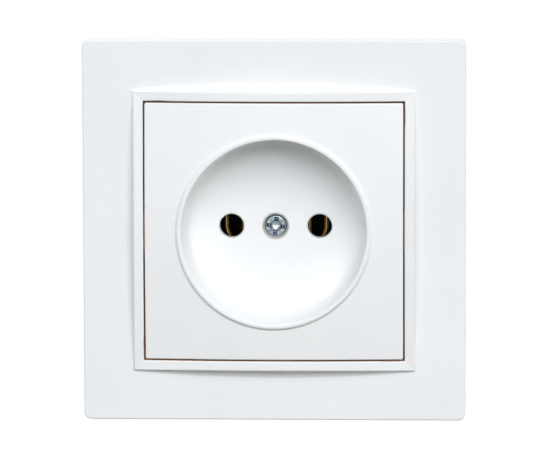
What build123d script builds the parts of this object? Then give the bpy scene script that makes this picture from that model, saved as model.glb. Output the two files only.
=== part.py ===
from build123d import *
import math
import os

# Unearthed wall socket for a flush box, in millimetres.
# The wall plane is Y = 0. The socket faces the viewer at -Y, Z is up and X is to the right.
# A height here is the distance in front of the wall plane, so what is behind it is below zero.

# Heights of the main levels
PLATE_BACK = 0.2
PLATE_FRONT = 1.2
BAND_HEIGHT = 6.0
RING_CORNER_HEIGHT = 6.6
RING_MIDDLE_HEIGHT = 8.2
LEDGE_HEIGHT = 2.6
WELL_DEPTH = 11.0
LIP_RISE = 0.48
FLOOR_THICKNESS = 3.0
BASE_FRONT = -5.0
BASE_BACK = -24.0
CAP_THICKNESS = 2.4
BEYOND = 14.0

# Surround
FRAME_SIZE = 82.0
FRAME_CORNER = 1.5
FRAME_EDGE = 0.3
FRAME_WALL = 1.8
FOOT_INSET = 0.8
FOOT_HEIGHT = 2.2
RING_SIZE = 60.2
RING_BOW = 0.1
CORNER_ROUNDING = 0.12
MIDDLE_ROUNDING = 0.42
COVE_SPREAD = 1.02
COVE_SINK = 0.01
COVE_ROOT = 1.2
WINDOW_SIZE = 56.0
WINDOW_EDGE = 0.25
COLLAR_SIZE = 60.0
LEDGE_OPENING = 52.0
RIB_THICKNESS = 1.2
RIB_SPACING = 20.0
NIB_LENGTH = 8.6
NIB_THICKNESS = 0.2
NIB_BELOW_EDGE = 1.6

# Cover
COVER_SIZE = 55.35
COVER_CORNER = 0.4
COVER_EDGE = 0.25
COVER_WALL = 1.7
FACE_THICKNESS = 2.0
WELL_MOUTH_RADIUS = 19.87
WELL_FLOOR_RADIUS = 18.6
WELL_FILLET = 2.6
WELL_WALL = 1.5
LIP_FOOT_RADIUS = 21.3
STIFFENER_HEIGHT = 4.6
BOSS_RADIUS = 5.0
BOSS_LENGTH = 2.2

# Pins and the screw between them
PIN_PITCH = 19.0
PIN_HOLE_RADIUS = 2.65
PIN_HOLE_CHAMFER = 0.3
SCREW_RADIUS = 1.5
SCREW_CLEARANCE = 0.2
SCREW_HEAD_RADIUS = 2.38
SCREW_HEAD_HEIGHT = 2.4
SCREW_SUNK = 0.8
COUNTERBORE_RADIUS = 2.75
SCREW_LENGTH = 9.2
BUSH_RADIUS = 2.6
BUSH_LENGTH = 6.0

# Mounting plate
PLATE_SIZE = 71.0
PLATE_CORNER = 4.0
PLATE_OPENING_RADIUS = 21.8
BOX_SCREW_SPACING = 60.0
BOX_SLOT_LENGTH = 10.0
BOX_SLOT_WIDTH = 3.8
CORNER_HOLE_RADIUS = 1.8

# Base
RIM_RADIUS = 23.6
RIM_BORE_RADIUS = 21.3
BODY_RADIUS = 23.0
BODY_WIDTH = 40.8
BODY_HEIGHT = 35.0
FRONT_WALL = 1.2
CHAMBER_WIDTH = 7.6
CHAMBER_HEIGHT = 13.0
CHAMBER_WINDOW_RADIUS = 3.2
RIVET_OFFSET = 17.5
RIVET_RADIUS = 1.25
RIVET_HEAD_RADIUS = 2.2
RIVET_HEAD_HEIGHT = 0.9
EAR_RADIUS = 3.4
EAR_BACK = -6.0
GUIDE_RISE = 1.6
GUIDE_THICKNESS = 1.0
GUIDE_OFFSET = 5.9

# Contacts
LEAF_THICKNESS = 0.5
LEAF_OFFSET = 2.2
LEAF_TOP = 5.0
LEAF_BACK = -17.0
LEAF_TURN_HEIGHT = -1.6
LEAF_TURN_RADIUS = 1.5
LEAF_LEAN = 35.0
LEAF_BELLY_RADIUS = 3.4
CLIP_THICKNESS = 0.4
CLIP_CLEARANCE = 0.03
CLIP_WIDTH = 5.0
CLIP_TOP = 3.2
TAIL_FRONT = -14.0
TAIL_BACK = -19.0
TAIL_BOTTOM = -14.0

# Terminals
BLOCK_WIDTH = 8.0
BLOCK_HEIGHT = 7.0
BLOCK_FRONT = -14.0
BLOCK_CENTRE_X = 10.4
BLOCK_CENTRE_Z = -12.0
CAGE_WIDTH = 4.5
CAGE_HEIGHT = 4.4
TERMINAL_SCREW_RADIUS = 1.75
TERMINAL_HEAD_RADIUS = 2.6
TERMINAL_HEAD_HEIGHT = 1.9
TERMINAL_DEPTH = -19.0
WIRE_HOLE_RADIUS = 1.9
WIRE_HOLE_CHAMFER = 0.6

# Claws
CLAW_SCREW_X = 23.4
CLAW_SCREW_RADIUS = 1.4
CLAW_PIVOT_HEIGHT = 2.78
CLAW_HEAD_RADIUS = 2.3
CLAW_HEAD_TOP = 4.1
CLAW_SCREW_END = -25.0
CLAW_NOTCH_WIDTH = 3.4
CLAW_NOTCH_END = 25.8
CLAW_INNER_X = 20.7
CLAW_OUTER_X = 27.4
CLAW_WIDTH = 10.0
CLAW_FRONT = -7.0
CLAW_BACK = -21.0
CLAW_STEEL = 1.3
CLAW_TOOTH = 2.5

# Values that follow from those above
PIN_X = PIN_PITCH / 2
FRAME_HALF = FRAME_SIZE / 2
WINDOW_HALF = WINDOW_SIZE / 2
RING_REACH = RING_SIZE / 2 - CORNER_ROUNDING
COVER_HALF = COVER_SIZE / 2
RING_ARCH = RING_MIDDLE_HEIGHT - RING_CORNER_HEIGHT
CROWN_RADIUS = (RING_SIZE / 2) ** 2 / (2 * RING_ARCH)
CROWN_APEX = RING_MIDDLE_HEIGHT + COVER_HALF**2 / (2 * CROWN_RADIUS)


def crown(radius, below=0.0):
    """Height of the crowned face at a distance from its axis: a sphere of CROWN_RADIUS."""
    return CROWN_APEX - CROWN_RADIUS + math.sqrt((CROWN_RADIUS - below) ** 2 - radius**2)


LIP_TOP = crown(WELL_MOUTH_RADIUS) + LIP_RISE
FLOOR_FRONT = LIP_TOP - WELL_DEPTH
FLOOR_BACK = FLOOR_FRONT - FLOOR_THICKNESS
SCREW_TOP = FLOOR_FRONT - SCREW_SUNK
SCREW_SEAT = SCREW_TOP - SCREW_HEAD_HEIGHT
BOSS_BACK = FLOOR_BACK - BOSS_LENGTH
BUSH_FRONT = BOSS_BACK - 0.3
CAP_BACK = BASE_BACK - CAP_THICKNESS

SECTION_PLANE = Plane(origin=(0, 0, 0), x_dir=(1, 0, 0), z_dir=(0, 0, -1))


def at(height):
    """Plane parallel to the wall at a height, seen from the front: x to the right and y up."""
    return Plane(origin=(0, -height, 0), x_dir=(1, 0, 0), z_dir=(0, -1, 0))


def prism(outline, low, high):
    """The outline as a solid between two heights."""
    return extrude(at(low) * outline, amount=high - low)


def disc(x, z, radius, low, high):
    """Cylinder square to the wall between two heights."""
    return prism(Pos(x, z) * Circle(radius), low, high)


def block(x, z, width, height, low, high):
    """Box square to the wall between two heights."""
    return prism(Pos(x, z) * Rectangle(width, height), low, high)


def cross_bar(x_low, x_high, z, height, radius):
    """Cylinder along X."""
    plane = Plane(origin=(x_low, -height, z), x_dir=(0, 1, 0), z_dir=(1, 0, 0))
    return extrude(plane * Circle(radius), amount=x_high - x_low)


def mirrored(solid):
    """The same piece on the other side, left for right."""
    return solid.mirror(Plane.YZ)


def quarter_turns(solid):
    """Four copies of a solid, turned by 90 degrees about the socket's axis."""
    return [solid.rotate(Axis.Y, 90 * turn) for turn in range(4)]


def ring_height(distance):
    """Height of the arched ring at a distance from the middle of its side: an arc."""
    return RING_MIDDLE_HEIGHT - CROWN_RADIUS + math.sqrt(CROWN_RADIUS**2 - distance**2)


def ring_edge_at(distance):
    """How far out the ring's edge is at a distance from mid-side, where it bows by RING_BOW."""
    return RING_SIZE / 2 + RING_BOW * (1 - (distance / RING_REACH) ** 2)


def rounding_at(distance):
    """Radius of the ring's outer arris: small at the corners, larger towards mid-side."""
    growth = MIDDLE_ROUNDING - CORNER_ROUNDING
    return CORNER_ROUNDING + growth * (1 - (distance / RING_REACH) ** 2)


def cove_section(distance):
    """Section of the ring's side at a distance from mid-side: a hollow arc, then a rounded arris.

    The arc is sunk by COVE_SINK, so that it meets the band at a small angle.
    """
    edge = ring_edge_at(distance)
    top = ring_height(distance)
    rounding = rounding_at(distance)
    shoulder = (edge, top - rounding)
    foot = (edge + COVE_SPREAD * (top - rounding - BAND_HEIGHT), BAND_HEIGHT - COVE_SINK)
    floor = BAND_HEIGHT - FRAME_WALL / 2
    hollow = TangentArc(foot, shoulder, tangent=(-1, 0))
    arris = TangentArc(shoulder, (edge - rounding, top), tangent=(0, 1))
    inside = edge - COVE_ROOT
    rest = Polyline(
        (edge - rounding, top), (inside, top), (inside, floor), (foot[0], floor), foot
    )
    return make_face([hollow, arris, rest])


def side_cove():
    """Right-hand side of the ring: the section grows with the arch and shrinks again."""
    places = [-RING_REACH, -RING_REACH / 2, 0, RING_REACH / 2, RING_REACH]
    planes = [Plane(origin=(0, 0, z), x_dir=(1, 0, 0), z_dir=(0, 0, -1)) for z in places]
    return loft([plane * cove_section(z) for plane, z in zip(planes, places)])


def corner_cove():
    """Corner of the ring: the end section turned round an upright axis inside the corner."""
    upright = Axis((RING_REACH, 0, RING_REACH), (0, -1, 0))
    plane = Plane(origin=(0, 0, RING_REACH), x_dir=(1, 0, 0), z_dir=(0, 0, -1))
    beyond = Rectangle(RING_SIZE, RING_SIZE, align=(Align.MIN, Align.CENTER))
    outside = cove_section(RING_REACH) & (Pos(RING_REACH, 0) * beyond)
    return revolve(plane * outside, axis=upright, revolution_arc=90)


def arched_vault():
    """Two crossed barrel arches, so each side of the ring is an arc and its land stays level."""
    reach = FRAME_HALF
    end_height = ring_height(reach)
    arc = ThreePointArc((-reach, end_height), (0, RING_MIDDLE_HEIGHT), (reach, end_height))
    walls = Polyline((reach, end_height), (reach, 0), (-reach, 0), (-reach, end_height))
    barrel = extrude(SECTION_PLANE * make_face([arc, walls]), amount=reach, both=True)
    return barrel + barrel.rotate(Axis.Y, 90)


def outer_frame():
    """Surround moulded in one: flat band, coved and arched ring, collar, ledge and ribs."""
    slab = prism(RectangleRounded(FRAME_SIZE, FRAME_SIZE, FRAME_CORNER), 0, BAND_HEIGHT)
    slab = fillet(slab.faces().sort_by(Axis.Y)[0].edges(), FRAME_EDGE)
    inner_size = RING_SIZE - COVE_ROOT
    block_under_ring = block(0, 0, inner_size, inner_size, BAND_HEIGHT - 1, BEYOND)
    body = slab + (block_under_ring & arched_vault())
    body += quarter_turns(side_cove())
    body += quarter_turns(corner_cove())
    inside = FRAME_SIZE - 2 * FRAME_WALL
    inner_corner = FRAME_CORNER / 2
    cavity = RectangleRounded(inside, inside, inner_corner) - Rectangle(COLLAR_SIZE, COLLAR_SIZE)
    hollow = prism(cavity, PLATE_FRONT, BAND_HEIGHT - FRAME_WALL)
    rib_middle = (COLLAR_SIZE / 2 + FRAME_HALF) / 2
    for offset in (-RIB_SPACING, 0, RIB_SPACING):
        rib = block(rib_middle, offset, FRAME_HALF, RIB_THICKNESS, 0, BAND_HEIGHT)
        hollow -= quarter_turns(rib & prism(cavity, 0, BAND_HEIGHT))
    body -= hollow
    body -= prism(RectangleRounded(inside, inside, inner_corner), 0, PLATE_FRONT)
    foot = FRAME_SIZE - 2 * FOOT_INSET
    body -= prism(
        Rectangle(FRAME_SIZE, FRAME_SIZE) - RectangleRounded(foot, foot, inner_corner), 0, FOOT_HEIGHT
    )
    body -= block(0, 0, LEDGE_OPENING, LEDGE_OPENING, 0, BEYOND)
    body -= block(0, 0, WINDOW_SIZE, WINDOW_SIZE, LEDGE_HEIGHT, BEYOND)
    body = fillet([e for e in body.edges() if window_edge(e)], WINDOW_EDGE)
    nib_top = RING_MIDDLE_HEIGHT - NIB_BELOW_EDGE
    nib = block(WINDOW_HALF, 0, 2 * NIB_THICKNESS, NIB_LENGTH, LEDGE_HEIGHT, nib_top)
    return body + quarter_turns(nib)


def window_edge(edge):
    """True for the four arched edges round the window in the ring's top."""
    middle = edge @ 0.5
    at_window = abs(max(abs(middle.X), abs(middle.Z)) - WINDOW_HALF) < 0.01
    return at_window and -middle.Y > RING_CORNER_HEIGHT and edge.length > WINDOW_HALF


def cover_section():
    """Half section of the cover: floor, drafted well wall, lip, crowned face and its underside."""
    lip_inner = WELL_MOUTH_RADIUS + 0.3
    lip_outer = lip_inner + 0.35
    edge = FRAME_HALF
    face_mid = (LIP_FOOT_RADIUS + edge) / 2
    tube_top = WELL_MOUTH_RADIUS + WELL_WALL
    tube_bottom = WELL_FLOOR_RADIUS + WELL_WALL
    under_mid = (tube_top + edge) / 2
    foot = (LIP_FOOT_RADIUS, crown(LIP_FOOT_RADIUS))
    wall_slope = (WELL_MOUTH_RADIUS - WELL_FLOOR_RADIUS) / WELL_DEPTH
    wall_top = (WELL_MOUTH_RADIUS - 0.3 * wall_slope, LIP_TOP - 0.3)
    rim_middle = (lip_inner - 0.212, LIP_TOP - 0.088)
    shoulder = (lip_outer + 0.3, LIP_TOP - 0.14)
    lines = Polyline((0, FLOOR_BACK), (0, FLOOR_FRONT), (WELL_FLOOR_RADIUS, FLOOR_FRONT), wall_top)
    lines += ThreePointArc(wall_top, rim_middle, (lip_inner, LIP_TOP))
    lines += Line((lip_inner, LIP_TOP), (lip_outer, LIP_TOP))
    lines += Spline(
        (lip_outer, LIP_TOP), shoulder, foot, tangents=[(1, 0), (1, -LIP_FOOT_RADIUS / CROWN_RADIUS)]
    )
    lines += ThreePointArc(foot, (face_mid, crown(face_mid)), (edge, crown(edge)))
    low_edge = (edge, crown(edge, FACE_THICKNESS))
    low_tube = (tube_top, crown(tube_top, FACE_THICKNESS))
    lines += Line((edge, crown(edge)), low_edge)
    lines += ThreePointArc(low_edge, (under_mid, crown(under_mid, FACE_THICKNESS)), low_tube)
    lines += Polyline(low_tube, (tube_bottom, FLOOR_BACK), (0, FLOOR_BACK))
    section = make_face(lines)
    corner = section.vertices().sort_by_distance((WELL_FLOOR_RADIUS, FLOOR_FRONT))[0]
    return fillet(corner, WELL_FILLET)


def crowned_cap():
    """Everything under the crowned face down to the surround's ledge, as a round block."""
    edge = (FRAME_HALF, crown(FRAME_HALF))
    middle = (FRAME_HALF / 2, crown(FRAME_HALF / 2))
    top = ThreePointArc((0, CROWN_APEX), middle, edge)
    rest = Polyline(edge, (FRAME_HALF, LEDGE_HEIGHT), (0, LEDGE_HEIGHT), (0, CROWN_APEX))
    return revolve(SECTION_PLANE * make_face([top, rest]), axis=Axis.Y)


def stiffener(reach):
    """Rib behind the face, from the well's tube outwards to a distance from the axis."""
    start = WELL_FLOOR_RADIUS + WELL_WALL
    top = crown(reach) - FACE_THICKNESS / 2
    return block((start + reach) / 2, 0, reach - start, RIB_THICKNESS, STIFFENER_HEIGHT, top)


def cover_plate():
    """Face, well and floor moulded in one, with a skirt that rests on the surround's ledge."""
    outline = RectangleRounded(COVER_SIZE, COVER_SIZE, COVER_CORNER)
    inside = COVER_SIZE - 2 * COVER_WALL
    dished = revolve(SECTION_PLANE * cover_section(), axis=Axis.Y)
    face = dished & prism(outline, FLOOR_BACK, BEYOND)
    skirt = prism(outline - Rectangle(inside, inside), LEDGE_HEIGHT, BEYOND) & crowned_cap()
    cover = face + skirt
    cover = fillet([e for e in cover.edges() if rim_edge(e)], COVER_EDGE)
    reach = COVER_HALF - COVER_WALL / 2
    cover += quarter_turns(stiffener(reach))
    cover += quarter_turns(stiffener(reach * math.sqrt(2)).rotate(Axis.Y, 45))
    cover += disc(0, 0, BOSS_RADIUS, BOSS_BACK, FLOOR_BACK)
    cover -= disc(0, 0, COUNTERBORE_RADIUS, SCREW_SEAT, FLOOR_FRONT)
    cover -= disc(0, 0, SCREW_RADIUS + SCREW_CLEARANCE, BOSS_BACK, SCREW_SEAT)
    for x in (-PIN_X, PIN_X):
        cover -= disc(x, 0, PIN_HOLE_RADIUS, FLOOR_BACK, FLOOR_FRONT)
    return chamfer([e for e in cover.edges() if mouth_edge(e)], PIN_HOLE_CHAMFER)


def rim_edge(edge):
    """True for an edge round the cover's crowned face."""
    middle = edge @ 0.5
    outside = max(abs(middle.X), abs(middle.Z)) > COVER_HALF - COVER_CORNER
    return outside and -middle.Y > RING_CORNER_HEIGHT - 0.5


def mouth_edge(edge):
    """True for the round edge of a hole in the well's floor."""
    middle = edge @ 0.5
    return abs(middle.Y + FLOOR_FRONT) < 0.01 and edge.length < 2 * math.pi * (PIN_HOLE_RADIUS + 1)


def cross_recess(depth, top):
    """Two crossed tapering slots, as in a screw head."""
    recess = None
    for angle in (0, 90):
        wide = at(top) * (Rot(0, 0, angle) * Rectangle(3.0, 0.75))
        narrow = at(top - depth) * (Rot(0, 0, angle) * Rectangle(1.1, 0.5))
        slot = loft([narrow, wide])
        recess = slot if recess is None else recess + slot
    return recess


def cover_screw():
    """Cheese-head screw that holds the cover, with a cross recess and rounded head."""
    head = disc(0, 0, SCREW_HEAD_RADIUS, SCREW_SEAT, SCREW_TOP)
    head = fillet(head.faces().sort_by(Axis.Y)[0].edges(), 0.45)
    shank = disc(0, 0, SCREW_RADIUS, SCREW_SEAT - SCREW_LENGTH, SCREW_SEAT)
    shank = chamfer(shank.faces().sort_by(Axis.Y)[-1].edges(), 0.4)
    return head + shank - cross_recess(1.4, SCREW_TOP)


def threaded_bush():
    """Flanged brass insert for the cover screw."""
    flange = disc(0, 0, BUSH_RADIUS + 0.8, BUSH_FRONT - 0.8, BUSH_FRONT)
    barrel = disc(0, 0, BUSH_RADIUS, BUSH_FRONT - BUSH_LENGTH, BUSH_FRONT)
    return flange + barrel - disc(0, 0, SCREW_RADIUS, BUSH_FRONT - BUSH_LENGTH, BUSH_FRONT)


def rivet_places():
    """The four places where the base is riveted to the mounting plate."""
    return [(x, z) for x in (-RIVET_OFFSET, RIVET_OFFSET) for z in (-RIVET_OFFSET, RIVET_OFFSET)]


def mounting_plate():
    """Stamped steel bridge: box-screw slots at mid-side, corner holes and an open middle."""
    half = BOX_SCREW_SPACING / 2
    notch_length = CLAW_NOTCH_END - BODY_WIDTH / 4
    notch = Pos(CLAW_NOTCH_END - notch_length / 2, 0) * SlotOverall(notch_length, CLAW_NOTCH_WIDTH)
    slot = Pos(half, 0) * SlotOverall(BOX_SLOT_LENGTH, BOX_SLOT_WIDTH, rotation=90)
    corner_hole = Pos(half, half) * Circle(CORNER_HOLE_RADIUS)
    outline = RectangleRounded(PLATE_SIZE, PLATE_SIZE, PLATE_CORNER) - Circle(PLATE_OPENING_RADIUS)
    outline -= [notch, notch.mirror(Plane.YZ)]
    for turn in range(4):
        outline -= Rot(0, 0, 90 * turn) * slot
        outline -= Rot(0, 0, 90 * turn) * corner_hole
    for x, z in rivet_places():
        outline -= Pos(x, z) * Circle(RIVET_RADIUS)
    return prism(outline, PLATE_BACK, PLATE_FRONT)


def base_rivets():
    """Four rivets through the mounting plate and the base's ears, as separate solids."""
    rivets = []
    for x, z in rivet_places():
        head = disc(x, z, RIVET_HEAD_RADIUS, PLATE_FRONT, PLATE_FRONT + RIVET_HEAD_HEIGHT)
        head = fillet(head.faces().sort_by(Axis.Y)[0].edges(), 0.6)
        shank = disc(x, z, RIVET_RADIUS, EAR_BACK, PLATE_FRONT)
        tail = disc(x, z, RIVET_HEAD_RADIUS, EAR_BACK - RIVET_HEAD_HEIGHT, EAR_BACK)
        tail = fillet(tail.faces().sort_by(Axis.Y)[-1].edges(), 0.6)
        rivets.append(head + shank + tail)
    return Compound(children=rivets)


def body_outline():
    """Round body with flats at the sides, for the claws, and at the top and bottom."""
    return Circle(BODY_RADIUS) & Rectangle(BODY_WIDTH, BODY_HEIGHT)


def cap_screw_places():
    """The two places where the back cap is screwed on."""
    offset = BODY_HEIGHT / 2 - 3.4
    return [(0, -offset), (0, offset)]


def socket_base():
    """Moulded body: cup round the well, front wall, contact chambers, pockets and claw guides."""
    base = prism(body_outline(), BASE_BACK, BASE_FRONT)
    flat = BODY_WIDTH / 2
    for z in (-GUIDE_OFFSET, GUIDE_OFFSET):
        guide = block(flat, z, 2 * GUIDE_RISE, GUIDE_THICKNESS, BASE_BACK, BASE_FRONT - FRONT_WALL)
        base += [guide, mirrored(guide)]
    base += disc(0, 0, RIM_RADIUS, BASE_FRONT - FRONT_WALL, PLATE_BACK)
    for x, z in rivet_places():
        base += disc(x, z, EAR_RADIUS, EAR_BACK, PLATE_BACK)
    base -= disc(0, 0, RIM_BORE_RADIUS, BASE_FRONT, PLATE_BACK)
    for x, z in rivet_places():
        base -= disc(x, z, RIVET_RADIUS, EAR_BACK, PLATE_BACK)
        base -= disc(x, z, EAR_RADIUS, BASE_BACK, EAR_BACK)
    claw_gap = block(RIM_RADIUS, 0, 2 * (RIM_RADIUS - BODY_WIDTH / 2), 2 * CLAW_NOTCH_WIDTH,
                     BASE_FRONT - FRONT_WALL, PLATE_BACK)
    base -= [claw_gap, mirrored(claw_gap)]
    base -= disc(0, 0, BOSS_RADIUS + 0.3, BUSH_FRONT, BASE_FRONT)
    base -= disc(0, 0, BUSH_RADIUS + 0.8, BUSH_FRONT - 0.8, BUSH_FRONT)
    base -= disc(0, 0, BUSH_RADIUS, BUSH_FRONT - BUSH_LENGTH, BUSH_FRONT)
    screw_end = SCREW_SEAT - SCREW_LENGTH - 0.5
    base -= disc(0, 0, SCREW_RADIUS + 0.3, screw_end, BUSH_FRONT - BUSH_LENGTH)
    pockets = side_pockets()
    base -= pockets
    base -= [mirrored(pocket) for pocket in pockets]
    for x, z in cap_screw_places():
        base -= disc(x, z, 1.2, BASE_BACK, BASE_BACK + 7)
    return base


def side_pockets():
    """What is hollow on the right: chamber, its window, tail slot, terminal pocket and screw way."""
    chamber_front = BASE_FRONT - FRONT_WALL
    tail_x = PIN_X - LEAF_OFFSET
    tail_top = -CHAMBER_HEIGHT / 2
    block_top = BLOCK_CENTRE_Z + BLOCK_HEIGHT / 2
    return [
        block(PIN_X, 0, CHAMBER_WIDTH, CHAMBER_HEIGHT, BASE_BACK, chamber_front),
        disc(PIN_X, 0, CHAMBER_WINDOW_RADIUS, chamber_front, BASE_FRONT),
        block(tail_x, (tail_top + block_top) / 2, 2 * LEAF_THICKNESS, tail_top - block_top + 1,
              BASE_BACK, TAIL_FRONT + 0.4),
        block(BLOCK_CENTRE_X, BLOCK_CENTRE_Z, BLOCK_WIDTH + 0.2, BLOCK_HEIGHT + 0.2,
              BASE_BACK, BLOCK_FRONT + 0.2),
        cross_bar(BLOCK_CENTRE_X, BODY_RADIUS, BLOCK_CENTRE_Z, TERMINAL_DEPTH,
                  TERMINAL_HEAD_RADIUS + 0.3),
    ]


def back_cap():
    """Lid over the back of the base, with funnelled wire entries and sunk screws."""
    cap = prism(body_outline(), CAP_BACK, BASE_BACK)
    cap = fillet(cap.faces().sort_by(Axis.Y)[-1].edges(), 0.6)
    for x in (-PIN_X, PIN_X):
        cap -= disc(x, BLOCK_CENTRE_Z, WIRE_HOLE_RADIUS, CAP_BACK, BASE_BACK)
    mouths = [e for e in cap.edges() if wire_mouth(e)]
    cap = chamfer(mouths, WIRE_HOLE_CHAMFER)
    for x, z in cap_screw_places():
        cap -= disc(x, z, 1.2, CAP_BACK, BASE_BACK)
        cap -= disc(x, z, 2.4, CAP_BACK, CAP_BACK + 1.2)
    return cap


def wire_mouth(edge):
    """True for the outer edge of a wire entry."""
    middle = edge @ 0.5
    return abs(middle.Y + CAP_BACK) < 0.01 and edge.length < 2 * math.pi * (WIRE_HOLE_RADIUS + 0.5)


def back_cap_screws():
    """Two small screws that hold the back cap, as separate solids."""
    screws = []
    for x, z in cap_screw_places():
        head = disc(x, z, 2.2, CAP_BACK + 0.1, CAP_BACK + 1.2)
        shank = disc(x, z, 1.2, CAP_BACK + 1.2, BASE_BACK + 6.5)
        slot = block(x, z, 5, 0.5, CAP_BACK, CAP_BACK + 0.6)
        screws.append(head + shank - slot)
    return Compound(children=screws)


def leaf_path():
    """Front view of the bent brass strip: inner leaf, turn at the bottom, bellied outer leaf."""
    inner = PIN_X - LEAF_OFFSET
    path = Line((inner, LEAF_TOP), (inner, LEAF_TURN_HEIGHT))
    path += JernArc(path @ 1, path % 1, LEAF_TURN_RADIUS, 180 - LEAF_LEAN)
    path += JernArc(path @ 1, path % 1, LEAF_BELLY_RADIUS, LEAF_LEAN)
    return path + Line(path @ 1, ((path @ 1).X, LEAF_TOP))


def strip_outline(width):
    """The bent strip's front view as a band of constant width along its path."""
    band = Sketch()
    for stretch in leaf_path().edges():
        band += trace(stretch, width)
    return band


def contact():
    """Right-hand contact: the strip folded round the pin, with its tail down to the terminal."""
    front = BASE_FRONT - FRONT_WALL - 0.2
    strip = prism(strip_outline(LEAF_THICKNESS), LEAF_BACK, front)
    inner = PIN_X - LEAF_OFFSET
    tail_top = LEAF_TOP - 1
    tail_height = tail_top - TAIL_BOTTOM
    tail = block(inner, (tail_top + TAIL_BOTTOM) / 2, LEAF_THICKNESS, tail_height,
                 TAIL_BACK, TAIL_FRONT)
    return strip + tail


def contact_spring():
    """Steel clip that hugs the right-hand contact from outside."""
    front = BASE_FRONT - FRONT_WALL - 2.6
    inside = LEAF_THICKNESS + 2 * CLIP_CLEARANCE
    bands = strip_outline(inside + 2 * CLIP_THICKNESS) - strip_outline(inside)
    outside = bands.faces().sort_by(SortBy.AREA)[-1]
    room = Pos(PIN_X, CLIP_TOP - CHAMBER_HEIGHT / 2) * Rectangle(CHAMBER_WIDTH, CHAMBER_HEIGHT)
    return prism(room & outside, front - CLIP_WIDTH, front)


def terminal_block():
    """Right-hand brass cage round the contact's tail and the wire."""
    cage = block(BLOCK_CENTRE_X, BLOCK_CENTRE_Z, BLOCK_WIDTH, BLOCK_HEIGHT, BASE_BACK, BLOCK_FRONT)
    cage = chamfer(cage.edges().filter_by(Axis.Y), 0.4)
    inner = PIN_X - LEAF_OFFSET - LEAF_THICKNESS / 2
    cage -= block(inner + CAGE_WIDTH / 2, BLOCK_CENTRE_Z, CAGE_WIDTH, CAGE_HEIGHT,
                  BASE_BACK, BLOCK_FRONT)
    tail_way = BLOCK_CENTRE_Z + BLOCK_HEIGHT / 2
    cage -= block(PIN_X - LEAF_OFFSET, tail_way, LEAF_THICKNESS, CAGE_HEIGHT, TAIL_BACK, BLOCK_FRONT)
    cage -= cross_bar(BLOCK_CENTRE_X, BODY_RADIUS, BLOCK_CENTRE_Z, TERMINAL_DEPTH,
                      TERMINAL_SCREW_RADIUS)
    return cage


def terminal_screw():
    """Right-hand clamping screw, worked from the side of the base."""
    head_x = BLOCK_CENTRE_X + BLOCK_WIDTH / 2 + 1
    tip_x = PIN_X - LEAF_OFFSET + CAGE_WIDTH - 0.8
    shank = cross_bar(tip_x, head_x, BLOCK_CENTRE_Z, TERMINAL_DEPTH, TERMINAL_SCREW_RADIUS)
    head = cross_bar(head_x, head_x + TERMINAL_HEAD_HEIGHT, BLOCK_CENTRE_Z, TERMINAL_DEPTH,
                     TERMINAL_HEAD_RADIUS)
    slot = block(head_x + TERMINAL_HEAD_HEIGHT, BLOCK_CENTRE_Z, 2, 0.7,
                 TERMINAL_DEPTH - 4, TERMINAL_DEPTH + 4)
    return head + shank - slot


def claw():
    """Right-hand spreading claw: a bent steel angle with a toothed outer edge."""
    width = CLAW_OUTER_X - CLAW_INNER_X
    cheek_x = CLAW_INNER_X + 0.5
    cheek = block(cheek_x, 0, 1.0, CLAW_WIDTH, CLAW_BACK, CLAW_FRONT)
    foot = block(CLAW_INNER_X + width / 2, 0, width, CLAW_WIDTH, CLAW_BACK, CLAW_BACK + CLAW_STEEL)
    angle = cheek + foot
    bend = [e for e in angle.edges().filter_by(Axis.Z) if bend_edge(e)]
    angle = fillet(bend, 0.9)
    for place in (-1, 0, 1):
        z = place * CLAW_TOOTH * 1.2
        notch = Pos(CLAW_OUTER_X, z) * Rot(0, 0, 45) * Rectangle(CLAW_TOOTH, CLAW_TOOTH)
        angle -= prism(notch, CLAW_BACK, CLAW_BACK + CLAW_STEEL)
    return angle - disc(CLAW_SCREW_X, 0, CLAW_SCREW_RADIUS, CLAW_BACK, CLAW_BACK + CLAW_STEEL)


def bend_edge(edge):
    """True for the outside edge of the claw's bend."""
    middle = edge @ 0.5
    return abs(middle.X - CLAW_INNER_X) < 0.01 and abs(middle.Y + CLAW_BACK) < 0.01


def claw_screw():
    """Right-hand claw screw: its round-bottomed head rocks in the plate's notch."""
    ball = Pos(CLAW_SCREW_X, -CLAW_PIVOT_HEIGHT, 0) * Sphere(CLAW_HEAD_RADIUS)
    head = ball & block(CLAW_SCREW_X, 0, 6, 6, 0, CLAW_HEAD_TOP)
    shank = disc(CLAW_SCREW_X, 0, CLAW_SCREW_RADIUS, CLAW_SCREW_END, CLAW_PIVOT_HEIGHT)
    shank = chamfer(shank.faces().sort_by(Axis.Y)[-1].edges(), 0.4)
    slot = block(CLAW_SCREW_X, 0, 6, 0.7, CLAW_HEAD_TOP - 0.9, CLAW_HEAD_TOP)
    return head + shank - slot


single_pieces = {
    "outer_frame": outer_frame,
    "cover_plate": cover_plate,
    "cover_screw": cover_screw,
    "threaded_bush": threaded_bush,
    "mounting_plate": mounting_plate,
    "base_rivets": base_rivets,
    "socket_base": socket_base,
    "back_cap": back_cap,
    "back_cap_screws": back_cap_screws,
}

paired_pieces = {
    "contact": contact,
    "contact_spring": contact_spring,
    "terminal_block": terminal_block,
    "terminal_screw": terminal_screw,
    "claw": claw,
    "claw_screw": claw_screw,
}

os.makedirs("parts", exist_ok=True)

for name, make in single_pieces.items():
    export_step(make(), f"parts/{name}.step")

for name, make in paired_pieces.items():
    right = make()
    export_step(right, f"parts/{name}_right.step")
    export_step(mirrored(right), f"parts/{name}_left.step")
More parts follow.
